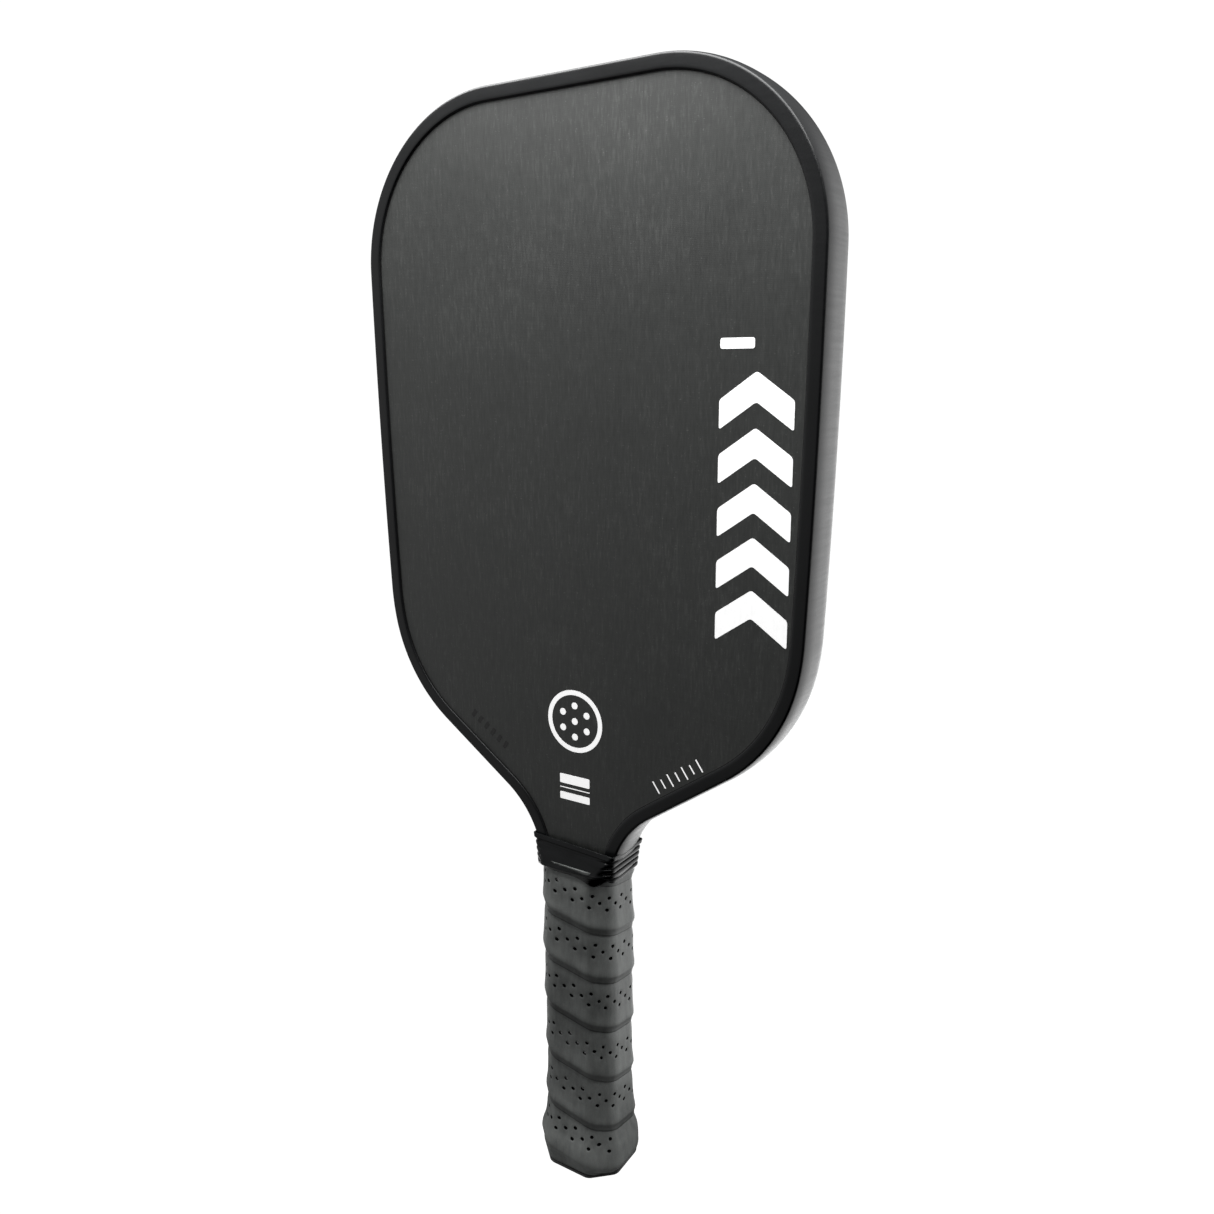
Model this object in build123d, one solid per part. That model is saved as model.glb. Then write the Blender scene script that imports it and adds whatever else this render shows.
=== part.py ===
from build123d import *
import os
from math import cos, radians, sin, sqrt

# Pickleball paddle, millimetres. The origin is the centre of the butt cap's flat end face.
# +Z runs up the handle to the head, X runs across the face, and the front face looks to -Y.

# Outline of the edge guard, from the top edge down to the throat, as tangent arcs and straight
# runs. The side arcs are the nearly straight side, its lower bend and the shoulder, each as a
# radius and a turn in degrees.
LENGTH = 419.0
TOP_FLAT_HALF = 33.8
CORNER_RADIUS = 59.6
SIDE_ARCS = [(3150.0, 2.25), (89.0, 8.5), (64.0, 44.0)]
DIAGONAL_RUN = 37.5
THROAT_RADIUS = 38.6

# Layers of the head, each as a thickness. The face half is half the thickness over both skins.
FACE_HALF = 8.1
OUTER_PLY = 0.25
INNER_PLY = 0.35
BONDING_FILM = 0.2
FILM_GAP = 0.01

# Edge guard: a U-channel that laps over both skins.
GUARD_WALL = 1.3
GUARD_LIP_WIDTH = 5.4
GUARD_LIP_RISE = 0.85
GUARD_EDGE_ROUND = 2.0
GUARD_TAPE = 0.3
GUARD_TAPE_HALF = 7.0
THROAT_CUT_Z = 130.0

# Honeycomb of open hexagonal cells, whose axes run through the thickness.
CELL_ACROSS_FLATS = 8.0
CELL_WALL = 0.36
CORE_RIM = 0.5
SMALLEST_CELL = 4.0

# Tongue of the head panel inside the handle.
TONGUE_HALF = 11.2
TONGUE_BOTTOM_Z = 4.0
TONGUE_TOP_Z = 136.0

# Grip: an octagon with flats at half-width a (x) and half-depth b (y), and a bevel at distance c
# whose normal leans BEVEL_LEAN away from the x axis. Each row is z, a, b, c of its outer surface.
BEVEL_LEAN = 47.1
GRIP_SECTIONS = [
    (1.4, 18.3, 16.6, 18.4),
    (5.0, 18.8, 17.0, 18.8),
    (8.5, 19.0, 17.2, 19.0),
    (12.0, 18.6, 16.9, 18.6),
    (16.0, 17.6, 15.9, 17.6),
    (20.0, 16.9, 15.3, 16.9),
    (25.0, 16.5, 14.9, 16.4),
    (30.0, 16.4, 14.8, 16.3),
]
WRAP_THICKNESS = 1.5
BACKING_TAPE = 0.2
WRAP_TOP_Z = 133.0
PALLET_TOP_Z = 135.8
PALLET_CHAMFER_Z = 133.0
PALLET_CHAMFER_DEPTH = 2.0
PALLET_TAPE = 0.2

# Butt cap: a cup with a floor under the tongue and pallets, and a rim below the wrap.
CAP_FLOOR = 3.0
CAP_TOP_Z = 27.0
RIM = (18.3, 16.6, 18.4)
RIM_HEIGHT = 1.4
RIM_ROUND = 0.7

# Finishing tape and rubber collar at the top of the grip. The collar's top and its cavity are
# octagons, each given as a, b and c.
FINISHING_TAPE = 0.2
FINISHING_TAPE_BOTTOM_Z = 129.6
COLLAR_BOTTOM_Z = 130.8
COLLAR_WALL = 0.6
COLLAR_TOP_Z = 143.0
COLLAR_TOP = (19.3, 10.1, 20.0)
COLLAR_SEAT_TOP_Z = 133.2
CAVITY_BOTTOM = (15.6, 13.9, 16.6)
CAVITY_TOP = (18.15, 8.15, 18.31)
BEAD_HEIGHT = 1.2
BEAD_PROUD = 0.3
RIB_COUNT = 4
RIB_HEIGHT = 1.1
RIB_INNER_X = 12.0

# Staples: a crown along x with two legs.
STAPLE_CROWN = 8.0
STAPLE_WIRE = 0.8
CAP_STAPLE_LEG = 4.4
CAP_STAPLE_Y = 13.2
CAP_STAPLE_Z = 20.0
GRIP_STAPLE_LEG = 2.6
GRIP_STAPLE_Y = 16.2
GRIP_STAPLE_Z = 8.0

FRONT = -1
REAR = 1


def outline_right():
    """Points of the right half of the guard outline, as (kind, points) runs from the top down."""
    corner = (TOP_FLAT_HALF, LENGTH - CORNER_RADIUS)
    half_width = corner[0] + CORNER_RADIUS
    runs = [("line", [(0, LENGTH), (corner[0], LENGTH)])]
    runs.append(("arc", arc_points(corner, CORNER_RADIUS, 90, 0)))
    turn = 0.0
    x, z = half_width, corner[1]
    for radius, angle in SIDE_ARCS:
        centre = (x - radius * cos(radians(turn)), z + radius * sin(radians(turn)))
        runs.append(("arc", arc_points(centre, radius, -turn, -turn - angle)))
        turn += angle
        x, z = runs[-1][1][2]
    low = (x - DIAGONAL_RUN * sin(radians(turn)), z - DIAGONAL_RUN * cos(radians(turn)))
    runs.append(("line", [(x, z), low]))
    direction = (cos(radians(turn)), -sin(radians(turn)))
    throat_centre = (low[0] + THROAT_RADIUS * direction[0], low[1] + THROAT_RADIUS * direction[1])
    runs.append(("arc", arc_points(throat_centre, THROAT_RADIUS, 180 - turn, 180)))
    return runs


def arc_points(centre, radius, start, end):
    """Start, middle and end of an arc, with its angles in degrees from the x axis."""
    angles = [start, (start + end) / 2, end]
    return [(centre[0] + radius * cos(radians(a)), centre[1] + radius * sin(radians(a))) for a in angles]


def head_face():
    """The guard outline as a closed face in the XZ plane, down to the bottom of the throat arc."""
    edges = []
    for side in (1, -1):
        for kind, points in outline_right():
            points = [(side * x, z) for x, z in points]
            edges.append(Line(*points) if kind == "line" else ThreePointArc(*points))
    x, z = outline_right()[-1][1][2]
    edges.append(Line((-x, z), (x, z)))
    return Plane.XZ * make_face(edges)


def slab(face, y_low, y_high):
    """A face in the XZ plane made into a solid between two depths."""
    return extrude(Pos(0, y_high, 0) * face, amount=y_high - y_low, dir=(0, -1, 0))


def slab_on(side, face, inner, outer):
    """A slab on the front (-1) or rear (+1) side, from an inner to an outer half depth."""
    low, high = sorted((side * inner, side * outer))
    return slab(face, low, high)


def block(half_x, half_y, bottom, top):
    """A box about the z axis between two heights."""
    centre_on_floor = (Align.CENTER, Align.CENTER, Align.MIN)
    return Pos(0, 0, bottom) * Box(2 * half_x, 2 * half_y, top - bottom, align=centre_on_floor)


def half_space(side):
    """Everything on the front (-1) or rear (+1) side of the middle plane, as a large box."""
    return Pos(0, side * 50, 0) * Box(400, 100, 1000)


def panel_face(extra=0.0):
    """The head panel inside the guard, with its tongue into the handle."""
    head = offset(head_face(), amount=-(GUARD_WALL + GUARD_TAPE + extra))
    window = Plane.XZ * Pos(0, TONGUE_TOP_Z + extra) * Rectangle(400, 400, align=(Align.CENTER, Align.MIN))
    tongue = Plane.XZ * Pos(0, TONGUE_BOTTOM_Z + extra) * Rectangle(
        2 * (TONGUE_HALF - extra), TONGUE_TOP_Z - TONGUE_BOTTOM_Z + 20, align=(Align.CENTER, Align.MIN)
    )
    return ((head & window) + tongue).face()


def octagon(z, a, b, c, inset=0.0):
    """An octagon at height z. Every side is moved in by the inset."""
    normal = (cos(radians(BEVEL_LEAN)), sin(radians(BEVEL_LEAN)))
    a, b, c = a - inset, b - inset, c - inset
    on_front = (c - normal[1] * b) / normal[0]
    on_side = (c - normal[0] * a) / normal[1]
    quarter = [(a, on_side), (on_front, b)]
    points = quarter + [(-x, y) for x, y in reversed(quarter)]
    points += [(-x, -y) for x, y in points]
    return Pos(0, 0, z) * make_face(Polyline(*points, close=True))


def grip_body(inset, bottom, top):
    """The grip's outer surface moved in by an inset, between two heights."""
    sections = [octagon(z, a, b, c, inset) for z, a, b, c in GRIP_SECTIONS]
    z, a, b, c = GRIP_SECTIONS[-1]
    flare = loft(sections, ruled=True)
    straight = extrude(octagon(z, a, b, c, inset), amount=COLLAR_TOP_Z - z)
    return (flare + straight) & block(50, 50, bottom, top)


def straight_grip(inset, bottom, top):
    """The grip's straight octagon, moved in by an inset, without the flare at the butt."""
    return extrude(octagon(bottom, *GRIP_SECTIONS[-1][1:], inset), amount=top - bottom)


def hexagon_cells():
    """Cells over the whole panel in staggered rows, on the XZ plane."""
    radius = (CELL_ACROSS_FLATS - CELL_WALL) / sqrt(3)
    row_step = CELL_ACROSS_FLATS * sqrt(3) / 2
    columns = int(TOP_FLAT_HALF + CORNER_RADIUS) // int(CELL_ACROSS_FLATS) + 1
    rows = int(LENGTH / row_step) + 1
    cells = []
    for row in range(rows):
        shift = CELL_ACROSS_FLATS / 2 * (row % 2)
        for column in range(-columns, columns + 1):
            place = Pos(column * CELL_ACROSS_FLATS + shift, TONGUE_BOTTOM_Z + row * row_step)
            cells.append(Plane.XZ * place * RegularPolygon(radius, 6, rotation=30))
    return cells


def honeycomb_core():
    """The core with its open cells. Cells that cross its rim are cut off along the rim."""
    window = panel_face(CORE_RIM)
    holes = []
    for cell in hexagon_cells():
        overlap = window & cell
        if overlap and overlap.area > SMALLEST_CELL:
            holes.append(overlap.face().outer_wire())
    face = Face(panel_face(FILM_GAP).outer_wire(), holes)
    half = core_half() - FILM_GAP
    return slab(face, -half, half)


def core_half():
    return FACE_HALF - OUTER_PLY - INNER_PLY - BONDING_FILM


def panel_layer(side, inner, thickness):
    """One ply or film of the head panel."""
    return slab_on(side, panel_face(), inner, inner + thickness)


def edge_guard():
    """The U-channel round the head. Its two legs end on the collar's top rim."""
    half = FACE_HALF + GUARD_LIP_RISE
    body = slab(head_face(), -half, half)
    body = fillet(body.faces().filter_by(Axis.Y).edges().filter_by(on_guard_side), GUARD_EDGE_ROUND)
    window = slab(offset(head_face(), amount=-GUARD_LIP_WIDTH), -half, half)
    channel = slab(offset(head_face(), amount=-GUARD_WALL), -FACE_HALF, FACE_HALF)
    return (body - window - channel) & block(200, 50, COLLAR_TOP_Z, LENGTH)


def on_guard_side(edge):
    """True for the outline's own edges, and false for the short one across the throat's bottom."""
    return (edge @ 0.5).Z > THROAT_CUT_Z


def edge_guard_tape():
    """The bond between the panel's edge and the inside of the guard."""
    outer = slab(offset(head_face(), amount=-GUARD_WALL), -GUARD_TAPE_HALF, GUARD_TAPE_HALF)
    panel = slab(panel_face(), -FACE_HALF, FACE_HALF)
    return (outer - panel) & block(200, 50, COLLAR_TOP_Z, LENGTH)


def handle_pallets(side):
    """Half of the octagonal handle, with a pocket for the tongue and a tapered top."""
    inset = WRAP_THICKNESS + BACKING_TAPE
    straight = straight_grip(inset, CAP_FLOOR, PALLET_CHAMFER_Z)
    sizes = GRIP_SECTIONS[-1][1:]
    shoulder = octagon(PALLET_CHAMFER_Z, *sizes, inset)
    top = octagon(PALLET_TOP_Z, *sizes, inset + PALLET_CHAMFER_DEPTH)
    pocket = block(TONGUE_HALF, FACE_HALF + PALLET_TAPE, CAP_FLOOR, COLLAR_TOP_Z)
    return ((straight + loft([shoulder, top], ruled=True)) & half_space(side)) - pocket


def pallet_tape(side):
    """The bond between the tongue's face and a pallet."""
    face = Plane.XZ * Pos(0, TONGUE_BOTTOM_Z) * Rectangle(
        2 * TONGUE_HALF, PALLET_TOP_Z - TONGUE_BOTTOM_Z, align=(Align.CENTER, Align.MIN)
    )
    return slab_on(side, face, FACE_HALF, FACE_HALF + PALLET_TAPE)


def staple(side, crown_y, leg, z):
    """A staple driven towards the middle plane, with its crown's outer face at crown_y."""
    crown = Box(STAPLE_CROWN, STAPLE_WIRE, STAPLE_WIRE)
    wire = Pos(0, crown_y - STAPLE_WIRE / 2, z) * crown
    for end in (-1, 1):
        x = end * (STAPLE_CROWN - STAPLE_WIRE) / 2
        wire += Pos(x, crown_y - leg / 2, z) * Box(STAPLE_WIRE, leg, STAPLE_WIRE)
    return wire if side == REAR else mirror(wire, Plane.XZ)


def butt_cap():
    """The flared cup below the handle, with an outer rim that the wrap ends on."""
    rim = extrude(octagon(0, *RIM), amount=RIM_HEIGHT)
    rim = fillet(rim.faces().sort_by(Axis.Z)[0].edges(), RIM_ROUND)
    cup = grip_body(WRAP_THICKNESS + BACKING_TAPE, RIM_HEIGHT, CAP_TOP_Z)
    return rim + cup - straight_grip(WRAP_THICKNESS + BACKING_TAPE, CAP_FLOOR, CAP_TOP_Z)


def grip_layer(outer_inset, inner_inset, bottom):
    """A sleeve of even thickness that follows the grip, from a height up to the wrap's top."""
    return grip_body(outer_inset, bottom, WRAP_TOP_Z) - grip_body(inner_inset, bottom, WRAP_TOP_Z)


def finishing_tape():
    outer = straight_grip(-FINISHING_TAPE, FINISHING_TAPE_BOTTOM_Z, WRAP_TOP_Z)
    return outer - straight_grip(0, FINISHING_TAPE_BOTTOM_Z, WRAP_TOP_Z)


def collar_shell(outset):
    """The collar's outer surface, filled, from the octagonal bottom to the flat top."""
    bottom = octagon(COLLAR_BOTTOM_Z, *GRIP_SECTIONS[-1][1:], -FINISHING_TAPE - COLLAR_WALL - outset)
    return loft([bottom, octagon(COLLAR_TOP_Z, *COLLAR_TOP, -outset)], ruled=True)


def rubber_collar():
    """The stretched collar, with a bead at either end and ribs across its narrow sides."""
    raised = collar_shell(BEAD_PROUD)
    bands = block(50, 50, COLLAR_BOTTOM_Z, COLLAR_BOTTOM_Z + BEAD_HEIGHT)
    bands += block(50, 50, COLLAR_TOP_Z - BEAD_HEIGHT, COLLAR_TOP_Z)
    span = COLLAR_TOP_Z - COLLAR_BOTTOM_Z - 2 * BEAD_HEIGHT
    gap = (span - RIB_COUNT * RIB_HEIGHT) / (RIB_COUNT + 1)
    for rib in range(RIB_COUNT):
        bottom = COLLAR_BOTTOM_Z + BEAD_HEIGHT + gap + rib * (RIB_HEIGHT + gap)
        bands += block(50, 50, bottom, bottom + RIB_HEIGHT) - block(RIB_INNER_X, 60, bottom, bottom + RIB_HEIGHT)
    seat = straight_grip(-FINISHING_TAPE, COLLAR_BOTTOM_Z, COLLAR_SEAT_TOP_Z)
    cavity = loft([octagon(COLLAR_SEAT_TOP_Z, *CAVITY_BOTTOM), octagon(COLLAR_TOP_Z, *CAVITY_TOP)], ruled=True)
    return collar_shell(0) + (raised & bands) - seat - cavity


def model():
    """Every piece by its node name."""
    nodes = {"honeycomb_core": honeycomb_core()}
    film_inner = core_half()
    inner_ply_inner = film_inner + BONDING_FILM
    outer_ply_inner = inner_ply_inner + INNER_PLY
    for name, side in (("front", FRONT), ("rear", REAR)):
        nodes[name + "_bonding_film"] = panel_layer(side, film_inner, BONDING_FILM)
        nodes[name + "_inner_carbon_ply"] = panel_layer(side, inner_ply_inner, INNER_PLY)
        nodes[name + "_outer_carbon_ply"] = panel_layer(side, outer_ply_inner, OUTER_PLY)
        nodes[name + "_pallet_tape"] = pallet_tape(side)
    nodes["edge_guard_tape"] = edge_guard_tape()
    nodes["edge_guard"] = edge_guard()

    cap_staples = [staple(side, CAP_STAPLE_Y, CAP_STAPLE_LEG, CAP_STAPLE_Z) for side in (FRONT, REAR)]
    grip_staple = staple(REAR, GRIP_STAPLE_Y, GRIP_STAPLE_LEG, GRIP_STAPLE_Z)
    for name, side in (("front", FRONT), ("rear", REAR)):
        nodes[name + "_handle_pallet"] = handle_pallets(side) - cap_staples
    nodes["butt_cap"] = butt_cap() - cap_staples - grip_staple
    nodes["butt_cap_staples"] = Compound(children=cap_staples)
    tape_outer = WRAP_THICKNESS
    tape = grip_layer(tape_outer, tape_outer + BACKING_TAPE, RIM_HEIGHT)
    nodes["grip_backing_tape"] = tape - cap_staples - grip_staple
    nodes["grip_start_staple"] = grip_staple
    nodes["grip_wrap"] = grip_layer(0, WRAP_THICKNESS, RIM_HEIGHT) - grip_staple
    nodes["finishing_tape"] = finishing_tape()
    nodes["rubber_collar"] = rubber_collar()
    return nodes


if __name__ == "__main__":
    os.makedirs("parts", exist_ok=True)
    for node, shape in model().items():
        export_step(shape, f"parts/{node}.step")
        print(f"{node:26s} {len(shape.solids())} solid, {shape.volume / 1000:8.2f} cm3")
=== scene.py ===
"""Pickleball paddle: the looks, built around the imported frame.

Lengths in the tables below are millimetres in the row's frame, and MM turns them into metres.
Z runs up the handle, X runs across the face, and the front face looks to -Y.
"""

from math import ceil, cos, pi, radians, sin, sqrt

import bpy
import numpy as np
from mathutils import Matrix, Vector, noise
from mathutils.geometry import delaunay_2d_cdt


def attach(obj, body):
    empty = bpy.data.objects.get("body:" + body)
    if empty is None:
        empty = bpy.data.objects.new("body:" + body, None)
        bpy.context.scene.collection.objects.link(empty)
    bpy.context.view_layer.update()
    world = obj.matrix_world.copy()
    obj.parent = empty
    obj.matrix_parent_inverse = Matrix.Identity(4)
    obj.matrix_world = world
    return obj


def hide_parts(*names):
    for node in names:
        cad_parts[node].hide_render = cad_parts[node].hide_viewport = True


MM = 0.001

# Outline of the edge guard, from the middle of the top edge down to the throat, as straight runs
# (length) and turns (radius, degrees). A negative radius turns outwards.
LENGTH = 419.0
OUTLINE = [
    ("run", 33.8),
    ("turn", 59.6, 90.0),
    ("turn", 3150.0, 2.25),
    ("turn", 89.0, 8.5),
    ("turn", 64.0, 44.0),
    ("run", 37.5),
    ("turn", -38.6, 54.75),
]
FACE_HALF = 8.1
GUARD_END_Z = 141.4
GUARD_STEP = 1.5

# Section of the guard: how far its lip reaches in and rises, the round edge's centre and radius,
# its inner wall, and how far its side stands out from the outline.
LIP_REACH = 5.4
LIP_RISE = 0.85
EDGE_CENTRE = (1.344, 8.01)
EDGE_RADIUS = 0.94
GUARD_WALL = 1.3
SIDE_PROUD = 0.45

# Grip: an octagon with half-width a, half-depth b and bevel distance c, as rows of z, a, b, c.
BEVEL_LEAN = radians(47.1)
GRIP_ROWS = [
    (-4.0, 18.0, 15.9, 18.5),
    (1.4, 18.5, 16.5, 19.0),
    (5.0, 18.75, 16.8, 19.3),
    (8.5, 18.9, 17.0, 19.45),
    (12.0, 18.6, 16.7, 19.15),
    (16.0, 17.8, 15.7, 18.35),
    (20.0, 17.3, 15.0, 17.8),
    (24.0, 16.95, 14.6, 17.5),
    (28.0, 16.8, 14.45, 17.35),
    (110.0, 16.75, 14.45, 17.3),
    (122.0, 16.55, 14.4, 17.1),
    (129.0, 16.8, 14.1, 17.25),
    (136.0, 16.6, 13.5, 16.8),
]
GRIP_CORNER = 8.0

# The section along which ways round the handle (u) are measured.
REFERENCE_SECTION = (16.3, 14.45, 16.8)

# The wound strip: how deep its back lies, the heights it is cut at, its width and pitch, and one
# point (u, z) that its lower edge passes.
STRIP_INSET = 1.5
STRIP_BOTTOM_Z = 1.4
STRIP_TOP_Z = 135.6
STRIP_WIDTH = 27.0
STRIP_PITCH = 21.25
SEAM_U = 21.9
SEAM_Z = 108.0

# How the hand-wound strip strays from an even helix, as rows of distance along it, how far its
# turn rides up, and how far its perforations slip back along it.
STRIP_STRAY = [
    (20.0, 1.4, -3.2),
    (50.0, 1.6, -3.2),
    (127.0, 2.05, 0.0),
    (234.0, 1.5, 0.0),
    (341.0, -0.15, 0.0),
    (447.0, -0.95, 0.0),
    (554.0, 0.6, -1.0),
]

# Height of the strip's skin over the handle, and of its back, across its width from the lower
# edge: a thin edge, a crest above it, the cushion, and the upper edge under the next turn.
STRIP_SKIN = [
    (0.0, 1.20), (0.5, 1.28), (1.6, 1.46), (2.6, 1.86), (3.3, 2.12), (4.4, 2.14), (7.0, 1.86),
    (10.0, 1.62), (14.0, 1.52), (18.0, 1.40), (19.8, 1.16), (20.9, 0.86), (22.5, 0.68), (27.0, 0.56),
]
STRIP_BACK = [(0.0, 0.92), (2.0, 0.80), (4.5, 0.72), (6.2, 0.60), (8.5, 0.42), (27.0, 0.42)]

# Perforations: three rows across the strip, and the middle row is staggered by half a step. Each
# is an oval pit inside a shallow dimple, and its rings are given as a share of its size and a depth.
# The margins keep them clear of the strip's cut ends.
HOLE_ROWS = (11.2, 13.65, 16.15)
HOLE_STEP = 7.436
HOLE_START = 14.97
LAST_HOLE = 560.0
HOLE_RADIUS = 0.70
HOLE_OVAL = 1.12
HOLE_HALO = 1.5
HOLE_CLEARANCE = 1.75
HOLE_SIDES = 14
HOLE_DEPTH = 0.8
HOLE_RINGS = [(0.97, 0.16), (0.95, 0.4), (0.93, HOLE_DEPTH)]
HOLE_DIMPLE = 0.10
HOLE_FLOOR = 0.5
TOP_MARGIN = 12
BOTTOM_MARGIN = 14

# Collar: plain outer sections at its lower and upper edge, as a, b, c and corner radius. Its upper
# edge is turned a little about the handle, and its lower edge arches up over the broad flats.
COLLAR_LOW = (17.6, 14.15, 18.9, 4.6)
COLLAR_HIGH = (18.8, 9.95, 19.9, 1.5)
COLLAR_LOW_Z = 130.9
COLLAR_HIGH_Z = 143.4
COLLAR_ARCH = 2.8
COLLAR_LOW_TILT = 0.03
COLLAR_TWIST = radians(-2.4)
COLLAR_TILT = -0.018
COLLAR_WALL = 0.8
COLLAR_GROOVES = (2.75, 5.2, 7.65, 10.1)
GROOVE_DEPTH = 0.75
GROOVE_WIDTH = 0.34

# Finishing tape: its lower edge, where it sags (u), how far and how wide, and its upper edge.
TAPE_LOW_Z = 132.2
TAPE_SAG_U = 22.5
TAPE_SAG = 2.6
TAPE_SAG_WIDTH = 5.0
TAPE_TOP_Z = 134.0

# Butt cap: sections of its rim and its inside, and the rim's rings as (height, distance in), from
# the recessed end panel out round the edge.
CAP_RIM = [18.25, 16.55, 18.35]
CAP_INSIDE = [14.7, 13.1, 14.6]
CAP_RIM_RINGS = [
    (0.4, 5.4), (0.38, 5.1), (0.1, 4.85), (0.0, 4.6), (0.0, 2.5), (0.0, 1.0), (0.06, 0.55),
    (0.22, 0.2), (0.45, 0.04), (0.75, 0.0), (1.05, 0.03), (1.25, 0.16), (1.33, 0.4), (1.35, 1.7),
]


def smoothstep(low, high, x):
    t = np.clip((np.asarray(x, float) - low) / (high - low), 0, 1)
    return t * t * (3 - 2 * t)


def curve_through(rows, x):
    """A smooth curve (Catmull-Rom) through rows of (x, value, ...), at an array of x."""
    rows = np.asarray(rows, float)
    knots, values = rows[:, 0], rows[:, 1:]
    slopes = np.gradient(values, knots, axis=0)
    x = np.clip(np.asarray(x, float), knots[0], knots[-1])
    i = np.clip(np.searchsorted(knots, x, side="right") - 1, 0, len(knots) - 2)
    width = knots[i + 1] - knots[i]
    t = ((x - knots[i]) / width)[:, None]
    width = width[:, None]
    return (
        (2 * t**3 - 3 * t**2 + 1) * values[i]
        + (t**3 - 2 * t**2 + t) * width * slopes[i]
        + (3 * t**2 - 2 * t**3) * values[i + 1]
        + (t**3 - t**2) * width * slopes[i + 1]
    )


def straight_through(rows, x):
    """The same rows joined by straight lines."""
    rows = np.asarray(rows, float)
    return np.stack([np.interp(x, rows[:, 0], rows[:, k]) for k in range(1, rows.shape[1])], axis=1)


# --- sections of the handle -------------------------------------------------------------------

def octagon_frame(a, b, c, radius):
    """Corner centres, from the front face's left end anticlockwise seen from above, with the
    directions between which each corner's arc turns."""
    nx, ny = cos(BEVEL_LEAN), sin(BEVEL_LEAN)
    a, b, c = a - radius, b - radius, c - radius
    side_y = (c - nx * a) / ny
    front_x = (c - ny * b) / nx
    centres = [(-front_x, -b), (front_x, -b), (a, -side_y), (a, side_y),
               (front_x, b), (-front_x, b), (-a, side_y), (-a, -side_y)]
    lean = BEVEL_LEAN
    facing = [-pi / 2, -lean, 0.0, lean, pi / 2, pi - lean, pi, pi + lean]
    turns = [(facing[k - 1] if k else -pi + lean, facing[k]) for k in range(8)]
    return np.array(centres), turns


def reference_stretches():
    """Lengths of the eight arcs and eight flats of the straight grip's section, in order."""
    centres, turns = octagon_frame(*REFERENCE_SECTION, GRIP_CORNER)
    lengths = []
    for k in range(8):
        lengths.append(GRIP_CORNER * (turns[k][1] - turns[k][0]))
        lengths.append(float(np.linalg.norm(centres[(k + 1) % 8] - centres[k])))
    return np.array(lengths)


STRETCHES = reference_stretches()
PERIMETER = float(STRETCHES.sum())
STRETCH_ENDS = np.concatenate([[0.0], np.cumsum(STRETCHES)])


def section_points(u, sizes, radius, outset):
    """Points on rounded octagons, and their outward directions. u is the way round, in reference
    lengths from the front face's left corner, and sizes holds a, b, c for each point."""
    u = np.mod(u, PERIMETER)
    stretch = np.clip(np.searchsorted(STRETCH_ENDS, u, side="right") - 1, 0, 15)
    share = (u - STRETCH_ENDS[stretch]) / STRETCHES[stretch]
    nx, ny = cos(BEVEL_LEAN), sin(BEVEL_LEAN)
    a, b, c = (sizes - np.asarray(radius).reshape(-1, 1)).T
    side_y = (c - nx * a) / ny
    front_x = (c - ny * b) / nx
    xs = np.stack([-front_x, front_x, a, a, front_x, -front_x, -a, -a])
    ys = np.stack([-b, -b, -side_y, side_y, b, b, side_y, -side_y])
    _, turns = octagon_frame(*GRIP_ROWS[-1][1:], GRIP_CORNER)
    starts = np.array([t[0] for t in turns])
    ends = np.array([t[1] for t in turns])
    corner = stretch // 2
    after = (corner + 1) % 8
    each = np.arange(len(u))
    on_arc = stretch % 2 == 0
    angle = np.where(on_arc, starts[corner] + (ends[corner] - starts[corner]) * share, ends[corner])
    out = np.stack([np.cos(angle), np.sin(angle)], axis=1)
    along = np.where(on_arc, 0.0, share)
    x = xs[corner, each] * (1 - along) + xs[after, each] * along
    y = ys[corner, each] * (1 - along) + ys[after, each] * along
    reach = (np.asarray(radius) + outset).reshape(-1, 1)
    return np.stack([x, y], axis=1) + out * reach, out


# --- mesh helpers -----------------------------------------------------------------------------

def new_mesh(name, points_mm, faces, material, sharp=None):
    """A smooth-shaded object from points in millimetres. Edges past the sharp angle stay sharp."""
    mesh = bpy.data.meshes.new(name)
    mesh.from_pydata((np.asarray(points_mm, float) * MM).tolist(), [], faces)
    mesh.validate()
    mesh.shade_smooth()
    if sharp is not None:
        mesh.set_sharp_from_angle(angle=radians(sharp))
    piece = bpy.data.objects.new(name, mesh)
    bpy.context.scene.collection.objects.link(piece)
    mesh.materials.append(material)
    return piece


def grid_faces(rows, columns, closed_rows=False, closed_columns=False):
    """Quads between rows of points, where each row follows the last in the list."""
    faces = []
    for r in range(rows if closed_rows else rows - 1):
        for k in range(columns if closed_columns else columns - 1):
            here = r * columns
            there = ((r + 1) % rows) * columns
            after = (k + 1) % columns
            faces.append((here + k, here + after, there + after, there + k))
    return faces


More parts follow.
